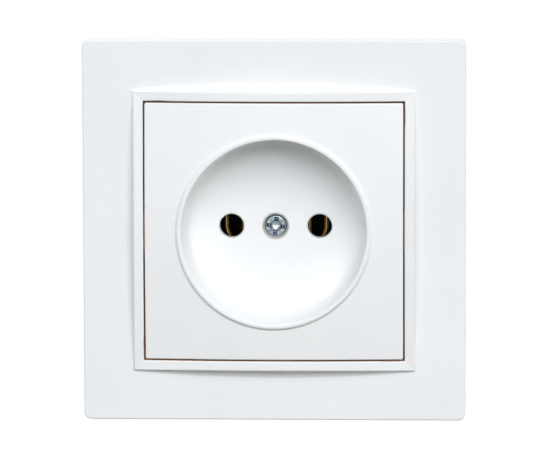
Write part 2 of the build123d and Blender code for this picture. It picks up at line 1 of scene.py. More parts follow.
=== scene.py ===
# %% [markdown]
# # An unearthed wall socket, dressed in Blender
#
# The real object is a flush-mounted insert: a white moulded surround and a white cover with a
# round well on the outside, and a steel plate, a dark moulded base, brass contacts and two
# spreading claws behind. The solids come finished from the CAD model, so this lesson is about
# the finishes, the fine parts of the screws, the light and the camera.
#
# Everything is in metres, in one shared frame: the wall is the plane Y = 0, the socket faces
# the viewer at -Y, X is to the right and Z is up.

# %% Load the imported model
import math

import bpy
import numpy as np
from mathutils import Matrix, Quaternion, Vector


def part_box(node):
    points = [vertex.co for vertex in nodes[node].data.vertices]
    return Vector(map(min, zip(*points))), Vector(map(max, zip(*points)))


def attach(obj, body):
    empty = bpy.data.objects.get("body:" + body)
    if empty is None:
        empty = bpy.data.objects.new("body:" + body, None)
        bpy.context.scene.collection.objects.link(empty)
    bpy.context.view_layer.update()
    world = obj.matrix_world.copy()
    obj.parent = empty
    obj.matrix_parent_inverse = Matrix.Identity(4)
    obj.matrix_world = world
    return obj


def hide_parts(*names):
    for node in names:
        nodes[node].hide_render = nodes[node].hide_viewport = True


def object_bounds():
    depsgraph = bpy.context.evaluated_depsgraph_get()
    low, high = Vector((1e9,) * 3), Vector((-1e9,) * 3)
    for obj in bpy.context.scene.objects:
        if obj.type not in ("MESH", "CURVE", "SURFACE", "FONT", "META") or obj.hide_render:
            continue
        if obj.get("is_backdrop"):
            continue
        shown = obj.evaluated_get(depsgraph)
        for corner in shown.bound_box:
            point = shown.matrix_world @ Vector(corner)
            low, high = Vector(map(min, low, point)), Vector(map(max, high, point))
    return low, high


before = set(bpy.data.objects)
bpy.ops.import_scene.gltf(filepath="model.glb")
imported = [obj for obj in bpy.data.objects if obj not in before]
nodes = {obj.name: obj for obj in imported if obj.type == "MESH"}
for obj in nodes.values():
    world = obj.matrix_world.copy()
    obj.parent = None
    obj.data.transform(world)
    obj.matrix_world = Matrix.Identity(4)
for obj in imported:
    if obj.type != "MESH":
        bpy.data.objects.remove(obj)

cad_low, cad_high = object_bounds()
print("box in mm", [round(1000 * v, 2) for v in (*cad_low, *cad_high)])

# %% [markdown]
# ## The camera
#
# The photograph was taken from well in front of the socket, a little above it and a touch to
# its right. A long lens from far away keeps the edges nearly parallel. The pair of angles came
# from how far the floor of the well sits from its mouth in the picture: a deeper thing seen
# from above slides upwards. A view from two angles at once tips level lines a little, and the
# small roll shares that tilt between the level and the upright lines. A fixed distance, the
# angles and the point looked at say it all, so no shift of the lens is needed.

# %% Camera in front, a little above and to the right
VIEW_AZIMUTH = 2.48
VIEW_ELEVATION = 7.59
VIEW_ROLL = -0.14
VIEW_DISTANCE = 1.2
PIXELS_PER_MM = 4.643
PICTURE_WIDTH = 550
SENSOR_WIDTH = 36.0
AIM = Vector((-0.00007, 0.0, -0.00081))


def direction(azimuth, elevation):
    """Unit vector towards a viewer: (sin a cos e, -cos a cos e, sin e), angles in degrees."""
    a, e = math.radians(azimuth), math.radians(elevation)
    return Vector((math.sin(a) * math.cos(e), -math.cos(a) * math.cos(e), math.sin(e)))


scene = bpy.context.scene
camera_data = bpy.data.cameras.new("camera")
camera = bpy.data.objects.new("camera", camera_data)
scene.collection.objects.link(camera)
towards_viewer = direction(VIEW_AZIMUTH, VIEW_ELEVATION)
camera.location = AIM + towards_viewer * VIEW_DISTANCE
camera.rotation_mode = "QUATERNION"
level_turn = (-towards_viewer).to_track_quat("-Z", "Y")
camera.rotation_quaternion = level_turn @ Quaternion((0, 0, 1), math.radians(VIEW_ROLL))
camera_data.sensor_width = SENSOR_WIDTH
camera_data.lens = SENSOR_WIDTH * PIXELS_PER_MM * 1000 * VIEW_DISTANCE / PICTURE_WIDTH
camera_data.clip_start = 0.01
camera_data.clip_end = 20.0
scene.camera = camera
print("lens", round(camera_data.lens, 1), "mm at", VIEW_DISTANCE, "m")

# %% [markdown]
# ## The light
#
# The picture has soft daylight from above. The well shows it best: its upper wall is in shade,
# its lower wall is the brightest place of all, and the shade fades over almost a centimetre
# of the floor. A fade that wide needs a wide lamp, and a shade that deep needs light from above
# only. So the sky is like a light tent: its walls glow near the horizon, and its roof is dim,
# or the upper side of the surround would burn out against the background. Below the horizon it
# is dark, because any light from there would fill the shade of the well. One large lamp stands
# above and in front, and a weak warm one at each side, the right one stronger, because the
# well's left wall is the paler. A fourth one, behind the wall's plane, is there for views of the
# back. All stand well away, because a near lamp would light the top of the socket more than its
# bottom.
#
# The background of the picture is plain white. The world gives that white to the camera and to
# reflections only, so the light on the socket stays at a plain level. The sky is a list of
# stops: the sine of the angle above the horizon, and the colour there.

# %% World: white to the eye, a glowing tent to the surfaces
SKY_STOPS = [
    (0.0, (0.01, 0.01, 0.01)),
    (0.05, (0.96, 0.93, 0.91)),
    (0.30, (0.93, 0.96, 1.00)),
    (0.50, (0.38, 0.40, 0.43)),
    (0.70, (0.05, 0.05, 0.06)),
]
SKY_STRENGTH = 1.25


def add_node(tree, kind, **inputs):
    """Adds a node of a kind and sets its sockets by name, with spaces written as underscores."""
    made = tree.nodes.new(kind)
    for name, value in inputs.items():
        made.inputs[name.replace("_", " ")].default_value = value
    return made


def seen_rays(tree):
    """1 for rays of the camera, of reflections and of transmission, 0 for the rest.

    It is the maximum of three outputs of the Light Path node, taken by two Math nodes."""
    path = tree.nodes.new("ShaderNodeLightPath")
    first = tree.nodes.new("ShaderNodeMath")
    first.operation = "MAXIMUM"
    second = tree.nodes.new("ShaderNodeMath")
    second.operation = "MAXIMUM"
    tree.links.new(path.outputs["Is Camera Ray"], first.inputs[0])
    tree.links.new(path.outputs["Is Glossy Ray"], first.inputs[1])
    tree.links.new(first.outputs[0], second.inputs[0])
    tree.links.new(path.outputs["Is Transmission Ray"], second.inputs[1])
    return second.outputs[0]


world = bpy.data.worlds.new("soft daylight")
scene.world = world
world.use_nodes = True
sky = world.node_tree
sky.nodes.clear()
sky_out = sky.nodes.new("ShaderNodeOutputWorld")
sky_mix = sky.nodes.new("ShaderNodeMixShader")
ambient = add_node(sky, "ShaderNodeBackground", Strength=SKY_STRENGTH)
sky_place = sky.nodes.new("ShaderNodeTexCoord")
sky_axes = sky.nodes.new("ShaderNodeSeparateXYZ")
sky_rise = add_node(sky, "ShaderNodeMapRange", From_Min=-1.0, From_Max=1.0)
sky_tone = sky.nodes.new("ShaderNodeValToRGB")
sky.links.new(sky_place.outputs["Generated"], sky_axes.inputs[0])
sky.links.new(sky_axes.outputs["Z"], sky_rise.inputs["Value"])
sky.links.new(sky_rise.outputs["Result"], sky_tone.inputs["Fac"])
sky.links.new(sky_tone.outputs["Color"], ambient.inputs["Color"])
stops = sky_tone.color_ramp.elements
stops.remove(stops[1])
for number, (rise, colour) in enumerate(SKY_STOPS):
    share = (rise + 1) / 2
    stop = stops[0] if number == 0 else stops.new(share)
    stop.position = share
    stop.color = (*colour, 1)
backdrop = add_node(sky, "ShaderNodeBackground", Color=(1, 1, 1, 1), Strength=1.0)
sky.links.new(seen_rays(sky), sky_mix.inputs[0])
sky.links.new(ambient.outputs[0], sky_mix.inputs[1])
sky.links.new(backdrop.outputs[0], sky_mix.inputs[2])
sky.links.new(sky_mix.outputs[0], sky_out.inputs["Surface"])
print("sky of", len(stops), "stops")

# %% Lamps: one wide and high, a weak warm one at each side and one behind
WARM = (1.0, 0.9, 0.8)
LAMPS = {
    "window above": dict(azimuth=10, elevation=34, power=194.0, colour=(0.97, 1.0, 1.03)),
    "glow right": dict(azimuth=62, elevation=16, power=34.0, colour=WARM),
    "glow left": dict(azimuth=-62, elevation=16, power=12.0, colour=WARM),
    "fill behind": dict(azimuth=205, elevation=35, power=83.0, colour=(1.0, 1.0, 1.0)),
}
LAMP_DISTANCE = 5.0
LAMP_SIZE = 3.67


def soft_lamp(name, azimuth, elevation, power, colour):
    """Square area lamp that faces the socket from two angles at LAMP_DISTANCE."""
    data = bpy.data.lights.new(name, "AREA")
    data.shape = "SQUARE"
    data.size = LAMP_SIZE
    data.energy = power
    data.color = colour
    lamp = bpy.data.objects.new(name, data)
    scene.collection.objects.link(lamp)
    away = direction(azimuth, elevation)
    lamp.location = away * LAMP_DISTANCE
    lamp.rotation_mode = "QUATERNION"
    lamp.rotation_quaternion = away.to_track_quat("Z", "Y")
    lamp.visible_camera = False
    return lamp


for lamp_name, lamp_values in LAMPS.items():
    soft_lamp(lamp_name, **lamp_values)
print("lamps", list(LAMPS))

# %% [markdown]
# ## The floor
#
# A socket hangs on a wall, and the picture shows neither wall nor floor. The floor is a plain
# pale sheet, far enough below that it bounces only a little light into the well's upper wall.
# That shade is warm in the picture, so the sheet is cream. To the eye it is the same white as
# the background.

# %% Pale floor below
FLOOR_DROP = 1.2
FLOOR_SIZE = 0.9
CREAM = (0.84, 0.74, 0.62, 1)

floor_mesh = bpy.data.meshes.new("floor")
floor_z = cad_low[2] - FLOOR_DROP
floor_corners = np.array([[-1, -1, 0], [1, -1, 0], [1, 1, 0], [-1, 1, 0]]) * FLOOR_SIZE / 2
floor_corners[:, 2] = floor_z
floor_mesh.from_pydata(floor_corners.tolist(), [], [(0, 1, 2, 3)])
floor = bpy.data.objects.new("floor", floor_mesh)
scene.collection.objects.link(floor)

floor_paint = bpy.data.materials.new("floor paint")
floor_paint.use_nodes = True
tree = floor_paint.node_tree
tree.nodes.clear()
out = tree.nodes.new("ShaderNodeOutputMaterial")
mix = tree.nodes.new("ShaderNodeMixShader")
matt = add_node(tree, "ShaderNodeBsdfDiffuse", Color=CREAM)
white = add_node(tree, "ShaderNodeEmission", Color=(1, 1, 1, 1), Strength=1.0)
tree.links.new(seen_rays(tree), mix.inputs[0])
tree.links.new(matt.outputs[0], mix.inputs[1])
tree.links.new(white.outputs[0], mix.inputs[2])
tree.links.new(mix.outputs[0], out.inputs["Surface"])
floor_mesh.materials.append(floor_paint)
floor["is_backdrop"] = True
print("floor at", round(floor_z, 3))

# %% [markdown]
# ## Effects that several finishes share
#
# Moulded plastic is never a flat colour. The tool's fine spark-eroded grain breaks up its
# shine, and its tone drifts a little over the piece. Handled metal has a cloudy plating and
# fine scratches, and everything gathers a few specks of dust. Each effect is a node group that
# gives only a mask, a tone or a height, so that every material can place it with its own
# sizes. Sizes go in as waves per metre, because Object coordinates are in metres.

# %% Helpers for node groups
def new_group(name, inputs, outputs):
    """Node group with float or vector sockets, its input node and its output node."""
    group = bpy.data.node_groups.new(name, "ShaderNodeTree")
    for title, kind, value in inputs:
        socket = group.interface.new_socket(title, in_out="INPUT", socket_type=kind)
        if value is not None:
            socket.default_value = value
    for title, kind in outputs:
        group.interface.new_socket(title, in_out="OUTPUT", socket_type=kind)
    return group, group.nodes.new("NodeGroupInput"), group.nodes.new("NodeGroupOutput")


def ramp(tree, source, low, high, to_low=0.0, to_high=1.0):
    """Map Range node: the source's range low to high becomes to_low to to_high, clamped."""
    limits = dict(From_Min=low, From_Max=high, To_Min=to_low, To_Max=to_high)
    made = add_node(tree, "ShaderNodeMapRange", **limits)
    made.clamp = True
    tree.links.new(source, made.inputs["Value"])
    return made.outputs["Result"]


def maths(tree, operation, first, second=None):
    """Math node on two sockets or numbers."""
    made = tree.nodes.new("ShaderNodeMath")
    made.operation = operation
    for place, value in enumerate((first, second)):
        if isinstance(value, (int, float)):
            made.inputs[place].default_value = value
        elif value is not None:
            tree.links.new(value, made.inputs[place])
    return made.outputs[0]


FLOAT, VECTOR = "NodeSocketFloat", "NodeSocketVector"
print("helpers ready")

# %% Group: grain of a spark-eroded mould
grain_group, gi, go = new_group(
    "mould grain",
    [("Vector", VECTOR, None), ("Grain", FLOAT, 5000.0), ("Drift", FLOAT, 60.0)],
    [("Height", FLOAT), ("Tone", FLOAT)],
)
fine = add_node(grain_group, "ShaderNodeTexNoise", Detail=2.0, Roughness=0.6)
slow = add_node(grain_group, "ShaderNodeTexNoise", Detail=3.0, Roughness=0.5)
for noise, size in ((fine, "Grain"), (slow, "Drift")):
    grain_group.links.new(gi.outputs["Vector"], noise.inputs["Vector"])
    grain_group.links.new(gi.outputs[size], noise.inputs["Scale"])
grain_group.links.new(fine.outputs["Fac"], go.inputs["Height"])
grain_group.links.new(ramp(grain_group, slow.outputs["Fac"], 0.3, 0.7), go.inputs["Tone"])
print(grain_group.name)

# %% Group: sparse specks of dust
dust_group, gi, go = new_group(
    "dust specks",
    [
        ("Vector", VECTOR, None),
        ("Cells", FLOAT, 300.0),
        ("Size", FLOAT, 0.05),
        ("Share", FLOAT, 0.2),
    ],
    [("Mask", FLOAT)],
)
cells = add_node(dust_group, "ShaderNodeTexVoronoi", Randomness=1.0)
chance = dust_group.nodes.new("ShaderNodeSeparateColor")
dust_group.links.new(gi.outputs["Vector"], cells.inputs["Vector"])
dust_group.links.new(gi.outputs["Cells"], cells.inputs["Scale"])
dust_group.links.new(cells.outputs["Color"], chance.inputs["Color"])
near = maths(dust_group, "LESS_THAN", cells.outputs["Distance"], gi.outputs["Size"])
chosen = maths(dust_group, "LESS_THAN", chance.outputs["Red"], gi.outputs["Share"])
dust_group.links.new(maths(dust_group, "MULTIPLY", near, chosen), go.inputs["Mask"])
print(dust_group.name)

# %% Group: clouds and fine scratches of plated metal
plating_group, gi, go = new_group(
    "plating clouds",
    [("Vector", VECTOR, None), ("Clouds", FLOAT, 600.0), ("Scratches", FLOAT, 2500.0)],
    [("Cloud", FLOAT), ("Height", FLOAT)],
)
cloud = add_node(plating_group, "ShaderNodeTexNoise", Detail=5.0, Roughness=0.65, Distortion=0.6)
scratch_way = dict(Rotation=(0.3, 0.5, 0.9), Scale=(1.0, 0.12, 1.0))
stretched = add_node(plating_group, "ShaderNodeMapping", **scratch_way)
scratch = add_node(plating_group, "ShaderNodeTexNoise", Detail=3.0, Roughness=0.7)
plating_group.links.new(gi.outputs["Vector"], cloud.inputs["Vector"])
plating_group.links.new(gi.outputs["Vector"], stretched.inputs["Vector"])
plating_group.links.new(stretched.outputs["Vector"], scratch.inputs["Vector"])
plating_group.links.new(gi.outputs["Clouds"], cloud.inputs["Scale"])
plating_group.links.new(gi.outputs["Scratches"], scratch.inputs["Scale"])
plating_group.links.new(ramp(plating_group, cloud.outputs["Fac"], 0.3, 0.7), go.inputs["Cloud"])
plating_group.links.new(scratch.outputs["Fac"], go.inputs["Height"])
print(plating_group.name)

# %% [markdown]
# ## White moulded plastic
#
# The surround and the cover are one white thermoplastic, hardly cold in tone. Its finish is a
# satin shine with a hardly visible grain. The narrow gap between the two pieces is painted with
# brown shade, so the line round the cover is brown and not grey. The painted shade is a place and
# not a thing, so the material finds it by position: everything between the cover's sides and
# the window's sides that lies below the edges. It starts a little under them and is full a
# quarter of a millimetre deeper, and the ledge at the foot of the gap stays unpainted.

# %% Build the white plastic
def tone(red, green, blue):
    """Colour from sRGB values of 0 to 255, as the linear numbers that a shader takes.

    Linear is c / 12.92 up to 0.04045 and ((c + 0.055) / 1.055)^2.4 above it."""
    srgb = np.array([red, green, blue]) / 255
    linear = np.where(srgb <= 0.04045, srgb / 12.92, ((srgb + 0.055) / 1.055) ** 2.4)
    return (*linear.tolist(), 1.0)


def new_material(name):
    """Material, its node tree, its Principled shader and its Object coordinates."""
    made = bpy.data.materials.new(name)
    made.use_nodes = True
    body = made.node_tree
    shader = body.nodes["Principled BSDF"]
    place = body.nodes.new("ShaderNodeTexCoord").outputs["Object"]
    return made, body, shader, place


def use_group(tree, group, place, **values):
    """Puts a node group into a material, fed with a place and its own sizes."""
    made = tree.nodes.new("ShaderNodeGroup")
    made.node_tree = group
    tree.links.new(place, made.inputs["Vector"])
    for name, value in values.items():
        made.inputs[name].default_value = value
    return made


def blend(tree, factor, first, second):
    """Colour mixed from first to second by a factor; either may be a socket or a colour."""
    made = tree.nodes.new("ShaderNodeMix")
    made.data_type = "RGBA"
    tree.links.new(factor, made.inputs["Factor"])
    for title, value in (("A", first), ("B", second)):
        socket = [s for s in made.inputs if s.name == title and s.type == "RGBA"][0]
        if isinstance(value, tuple):
            socket.default_value = value
        else:
            tree.links.new(value, socket)
    return [s for s in made.outputs if s.type == "RGBA"][0]


def add_bump(tree, shader, height, distance, strength):
    """Feeds a height into the shader's Normal through one Bump node."""
    bump = add_node(tree, "ShaderNodeBump", Distance=distance, Strength=strength)
    tree.links.new(height, bump.inputs["Height"])
    tree.links.new(bump.outputs["Normal"], shader.inputs["Normal"])


GAP_INNER = 0.02745
GAP_OUTER = 0.02815
SIDE_FADE = 0.0001
EDGE_HEIGHT = 0.0082
# The painted shade in the gap starts 0.1 mm under the edge and is full 0.35 mm under it.
GAP_SHADE_STARTS = EDGE_HEIGHT - 0.0001
GAP_SHADE_FULL = EDGE_HEIGHT - 0.00035
LEDGE_HEIGHT = 0.0025
ARCH_RADIUS = 0.2831
# Brown painted shade on the gap's walls, standing in for the shade deep in the gap.
GAP_SHADE_TONE = tone(212, 164, 120)
CREAMY_DUST = tone(150, 138, 122)


def gap_shade_mask(tree, place):
    """1 where shade is painted in the gap, which runs under an arched edge round the square
    cover.

    The larger of |x| and |z| lies between the gap's two walls. With t the smaller of them, the
    edge is at EDGE_HEIGHT - t^2 / (2 ARCH_RADIUS). So height + t^2 / (2 ARCH_RADIUS) is the
    same all along the edge, and the two heights of the painted shade are compared with that."""
    apart = tree.nodes.new("ShaderNodeSeparateXYZ")
    tree.links.new(place, apart.inputs[0])
    side_x = maths(tree, "ABSOLUTE", apart.outputs["X"])
    side_z = maths(tree, "ABSOLUTE", apart.outputs["Z"])
    across = maths(tree, "MAXIMUM", side_x, side_z)
    along = maths(tree, "MINIMUM", side_x, side_z)
    inside = ramp(tree, across, GAP_INNER, GAP_INNER + SIDE_FADE)
    outside = ramp(tree, across, GAP_OUTER, GAP_OUTER + SIDE_FADE, 1.0, 0.0)
    fall = maths(tree, "DIVIDE", maths(tree, "MULTIPLY", along, along), 2 * ARCH_RADIUS)
    height = maths(tree, "MULTIPLY", apart.outputs["Y"], -1.0)
    above_arch = maths(tree, "ADD", height, fall)
    low = ramp(tree, above_arch, GAP_SHADE_FULL, GAP_SHADE_STARTS, 1.0, 0.0)
    above_ledge = maths(tree, "GREATER_THAN", height, LEDGE_HEIGHT)
    band = maths(tree, "MULTIPLY", inside, outside)
    return maths(tree, "MULTIPLY", band, maths(tree, "MULTIPLY", low, above_ledge))


def white_plastic(name, colour, shade, roughness):
    """Satin white moulding with grain, slow drift of tone, specks of dust and painted shade in
    the gap.
    """
    made, tree, shader, place = new_material(name)
    grain = use_group(tree, grain_group, place, Grain=4200.0, Drift=45.0)
    specks = use_group(tree, dust_group, place, Cells=190.0, Size=0.022, Share=0.3)
    body_colour = blend(tree, grain.outputs["Tone"], colour, shade)
    dust_share = maths(tree, "MULTIPLY", specks.outputs["Mask"], 0.45)
    dusty = blend(tree, dust_share, body_colour, CREAMY_DUST)
    # The gap's walls below the edges get brown painted shade.
    gap_shaded = blend(tree, gap_shade_mask(tree, place), dusty, GAP_SHADE_TONE)
    tree.links.new(gap_shaded, shader.inputs["Base Color"])
    rough = ramp(tree, grain.outputs["Tone"], 0.0, 1.0, roughness - 0.03, roughness + 0.03)
    tree.links.new(rough, shader.inputs["Roughness"])
    add_bump(tree, shader, grain.outputs["Height"], distance=0.00003, strength=0.12)
    shader.inputs["IOR"].default_value = 1.5
    return made


white_cover = white_plastic(
    "white cover plastic", tone(240, 241, 241), tone(237, 239, 239), roughness=0.5)
white_surround = white_plastic(
    "white surround plastic", tone(239, 241, 241), tone(236, 238, 239), roughness=0.55)
print(white_cover.name, white_surround.name)

# %% [markdown]
# ## Dark moulded plastic
#
# The base and its back cap are hard dark plastic, made to stand heat and not to be seen.
# Through the pin holes it reads as plain black. From behind it shows what such mouldings
# show: a dull skin, a coarser grain than the cover's, and pale dust lying in it.

# %% Build the dark plastic
def dark_plastic(name):
    """Dull charcoal moulding: coarse grain as bump, mottled tone, pale dust by noise."""
    made, tree, shader, place = new_material(name)
    grain = use_group(tree, grain_group, place, Grain=2600.0, Drift=140.0)
    specks = use_group(tree, dust_group, place, Cells=420.0, Size=0.05, Share=0.35)
    charcoal = blend(tree, grain.outputs["Tone"], tone(34, 34, 36), tone(50, 50, 52))
    dust_share = maths(tree, "MULTIPLY", specks.outputs["Mask"], 0.5)
    dusty = blend(tree, dust_share, charcoal, tone(128, 124, 116))
    tree.links.new(dusty, shader.inputs["Base Color"])
    tree.links.new(ramp(tree, grain.outputs["Tone"], 0, 1, 0.42, 0.6), shader.inputs["Roughness"])
    add_bump(tree, shader, grain.outputs["Height"], distance=0.00006, strength=0.35)
    return made


base_plastic = dark_plastic("dark base plastic")
print(base_plastic.name)

# %% [markdown]
# ## Metals
#
# Three metals matter here. The plate, rivets, claws and screws are steel with a bluish zinc
# plating, cloudy and scratched. The contacts, terminals and bush are brass, which tarnishes
# to brown; the bright rims on the contacts are a painted highlight. The clips are bare spring
# steel, darker and smoother.
# One function builds all of them, because they differ only in their colours, shine and
# scale of clouding.

# %% Build the metals
def metal(name, bright, dull, clouds, scratches, rough_low, rough_high, depth):
    """Metal whose colour and roughness follow the plating clouds, with scratches as bump."""
    made, tree, shader, place = new_material(name)
    clouding = use_group(tree, plating_group, place, Clouds=clouds, Scratches=scratches)
    colour = blend(tree, clouding.outputs["Cloud"], bright, dull)
    tree.links.new(colour, shader.inputs["Base Color"])
    rough = ramp(tree, clouding.outputs["Cloud"], 0, 1, rough_low, rough_high)
    tree.links.new(rough, shader.inputs["Roughness"])
    add_bump(tree, shader, clouding.outputs["Height"], distance=depth, strength=0.3)
    shader.inputs["Metallic"].default_value = 1.0
    return made


zinc = metal(
    "zinc plated steel", tone(202, 213, 218), tone(156, 170, 178),
    clouds=700.0, scratches=3000.0, rough_low=0.22, rough_high=0.42, depth=0.00003)
brass = metal(
    "bright brass", tone(214, 176, 96), tone(148, 108, 48),
    clouds=500.0, scratches=2500.0, rough_low=0.25, rough_high=0.5, depth=0.00002)
tarnished = metal(
    "tarnished brass", tone(108, 76, 20), tone(72, 46, 10),
    clouds=1200.0, scratches=2500.0, rough_low=0.3, rough_high=0.5, depth=0.00002)
spring = metal(
    "spring steel", tone(58, 59, 62), tone(36, 37, 40),
    clouds=900.0, scratches=4000.0, rough_low=0.25, rough_high=0.42, depth=0.00002)
print(zinc.name, brass.name, tarnished.name, spring.name)

# %% [markdown]
# ### Bright rims of the contacts
#
# Inside each pin hole the picture shows the edges of two brass leaves with a bright line along
# them. The outer leaf bellies out round the pin and the inner leaf is straight. The line is a
# painted highlight, again found by place: a narrow strip on the side of each leaf that faces
# away from the pin.

# %% Bright rims of the contacts
BELLY_CENTRE = (0.007244, -0.00051)
BELLY_RADIUS = 0.0034
INNER_LEAF_X = 0.0073
LEAF_HALF = 0.00025
# Width and colour of the painted highlight along the leaves' rims.
RIM_HIGHLIGHT_WIDTH = 0.00011
RIM_HIGHLIGHT_BRASS = tone(200, 172, 112)


def tint_where(finish, mask, colour):
    """Blends a colour into a finished material, as much as a mask in its node tree says."""
    tree = finish.node_tree
    base = tree.nodes["Principled BSDF"].inputs["Base Color"]
    tree.links.new(blend(tree, mask, base.links[0].from_socket, colour), base)


def rim_highlight_mask(tree):
    """1 on the rims of a contact's two leaves that face away from the pin, where a highlight is
    painted.

    With (u, w) the place from the belly's centre and w at most 0, the outer leaf's middle line
    is at sqrt(u^2 + w^2) = BELLY_RADIUS. The inner leaf's middle line is at INNER_LEAF_X, and
    its rim faces the axis of the socket."""
    place = tree.nodes["Texture Coordinate"].outputs["Object"]
    apart = tree.nodes.new("ShaderNodeSeparateXYZ")
    tree.links.new(place, apart.inputs[0])
    u = maths(tree, "SUBTRACT", maths(tree, "ABSOLUTE", apart.outputs["X"]), BELLY_CENTRE[0])
    w = maths(tree, "MINIMUM", maths(tree, "SUBTRACT", apart.outputs["Z"], BELLY_CENTRE[1]), 0.0)
    squares = maths(tree, "ADD", maths(tree, "MULTIPLY", u, u), maths(tree, "MULTIPLY", w, w))
    outer_rim = BELLY_RADIUS + LEAF_HALF - RIM_HIGHLIGHT_WIDTH
    outer = maths(tree, "GREATER_THAN", squares, outer_rim**2)
    inner_rim = INNER_LEAF_X - BELLY_CENTRE[0] - LEAF_HALF + RIM_HIGHLIGHT_WIDTH
    inner = maths(tree, "LESS_THAN", u, inner_rim)
    return maths(tree, "MAXIMUM", outer, inner)


# A painted highlight: a bright brass line along the leaves' outer rims.
tint_where(tarnished, rim_highlight_mask(tarnished.node_tree), RIM_HIGHLIGHT_BRASS)
print("painted rim highlight", RIM_HIGHLIGHT_WIDTH * 1000, "mm wide")

# %% [markdown]
# ## A finish for every solid
#
# Each finish has a list of the solids that wear it. The three screws that are turned below have
# a finish here too, although their surfaces take their place in the picture.

# %% Give every solid its finish
FINISHES = {
    white_cover: ["cover_plate"],
    white_surround: ["outer_frame"],
    base_plastic: ["socket_base", "back_cap"],
    zinc: [
        "mounting_plate", "base_rivets", "back_cap_screws", "cover_screw",
        "claw_left", "claw_right", "claw_screw_left", "claw_screw_right",
        "terminal_screw_left", "terminal_screw_right",
    ],
    brass: ["threaded_bush", "terminal_block_left", "terminal_block_right"],
    tarnished: ["contact_left", "contact_right"],
    spring: ["contact_spring_left", "contact_spring_right"],
}


def dress(piece, finish):
    """Puts a finish into every material slot of a piece, or adds a slot if it has none."""
    if not piece.material_slots:
        piece.data.materials.append(finish)
    for slot in piece.material_slots:
        slot.link = "OBJECT"
        slot.material = finish


for finish, names in FINISHES.items():
    for node_name in names:
        dress(nodes[node_name], finish)
bare = sorted(set(nodes) - {n for names in FINISHES.values() for n in names})
print("solids without a finish:", bare)

# %% [markdown]
# ## Screws as surfaces
#
# The solids have plain shanks. A real screw has a thread, and the cover screw that the picture
# shows has a cross recess with thin marks between its arms. Both are surfaces over two
# parameters: how far along the outline from the crown of the head to the tip, and the angle
# round the axis. A thread is then one more term in the radius, and a recess one more term in
# the height, so neither needs any cutting. Lengths of screws are in millimetres, heights are
# counted from the wall towards the viewer, and the last step turns both into metres and -Y.

# %% Meshes from rings round an axis
def signed_volume(points, triangles):
    """Sum of a . (b x c) / 6 over the triangles: above 0 if they face outwards."""
    a, b, c = (points[triangles[:, k]] for k in range(3))
    return np.einsum("ij,ij->i", a, np.cross(b, c)).sum() / 6


def new_piece(name, points, faces, sharp_angle):
    """Object with a smooth mesh, sharp where two faces meet at more than an angle in degrees."""
    mesh = bpy.data.meshes.new(name)
    mesh.from_pydata(points.tolist(), [], faces)
    mesh.polygons.foreach_set("use_smooth", np.ones(len(mesh.polygons), bool))
    mesh.set_sharp_from_angle(angle=math.radians(sharp_angle))
    mesh.update()
    piece = bpy.data.objects.new(name, mesh)
    scene.collection.objects.link(piece)
    return piece


def turned_mesh(name, rings, first_pole, last_pole):
    """Closed mesh: quads between rings of points, and a fan of triangles at each pole.

    rings has the shape (rows, columns, 3), and the last column joins the first. Should the
    signed volume be negative, the faces are turned round, so they always point outwards."""
    rows, columns, _ = rings.shape
    index = np.arange(rows * columns).reshape(rows, columns)
    beside = np.roll(index, -1, axis=1)
    quads = np.stack([index[:-1], beside[:-1], beside[1:], index[1:]], axis=-1).reshape(-1, 4)
    first = np.full(columns, rows * columns)
    fans = np.vstack([
        np.stack([first, beside[0], index[0]], axis=-1),
        np.stack([first + 1, index[-1], beside[-1]], axis=-1),
    ])
    points = np.vstack([rings.reshape(-1, 3), [first_pole], [last_pole]])
    volume = signed_volume(points, np.vstack([quads[:, [0, 1, 2]], quads[:, [0, 2, 3]], fans]))
    if volume < 0:
        quads, fans = quads[:, ::-1], fans[:, ::-1]
    print(name, len(points), "points,", round(abs(volume) * 1e9, 1), "mm3")
    return new_piece(name, points, quads.tolist() + fans.tolist(), sharp_angle=38)


FIRST_RING = 0.02
THREAD_PITCH = 0.5
SHANK_STEP = 0.1
TIP_SHARE = 0.55


def thread_wave(height, angle):
    """Helix as a wave of 0 to 1, from root to crest.

    It is the triangle wave of height / THREAD_PITCH + angle / 2 pi, its crest cut flat."""
    phase = (height / THREAD_PITCH + angle / (2 * math.pi)) % 1.0
    return np.clip(1.25 * (1 - np.abs(2 * phase - 1)), 0, 1)


print("ready to turn screws of", THREAD_PITCH, "mm pitch")

# %% [markdown]
# ## The cover screw
#
# It is a small cheese-head screw that holds the cover to the bush behind it. In the picture
# the recess is turned a few degrees clockwise. Its middle is an open bowl that catches the
# light, its four arms end in dark spots, and short marks stand between them, so it is the kind
# of cross that has ribs in its corners. It stands where the solid stands, 0.8 mm below the
# well's floor. Its head is drawn 0.08 mm smaller in radius than the solid's, and the collar
# that comes after it fills the room round it.

# %% Height of the cross recess
RECESS_TURN = math.radians(-6)
ARM_REACH = 2.05
ARM_HALF_WIDTH = 0.42
ARM_DEPTH = 1.3
ARM_WALL = 0.16
SLOPE_START, SLOPE_LENGTH = 0.7, 0.6
SHALLOW_SHARE = 0.4
BOWL_RADIUS = 1.35
BOWL_DEPTH = 0.8
MARK_START, MARK_END = 1.2, 2.0
MARK_HALF_WIDTH = 0.14
MARK_DEPTH = 0.16
MARK_FADE = 0.1
# Painted shade at the ends of the arms, and a painted highlight in two spots in the middle.
RECESS_SHADE_START, RECESS_SHADE_FULL = 1.15, 1.65
GLINT_ASIDE, GLINT_HEIGHT = 0.36, -0.15
GLINT_RADIUS, GLINT_FADE = 0.38, 0.2


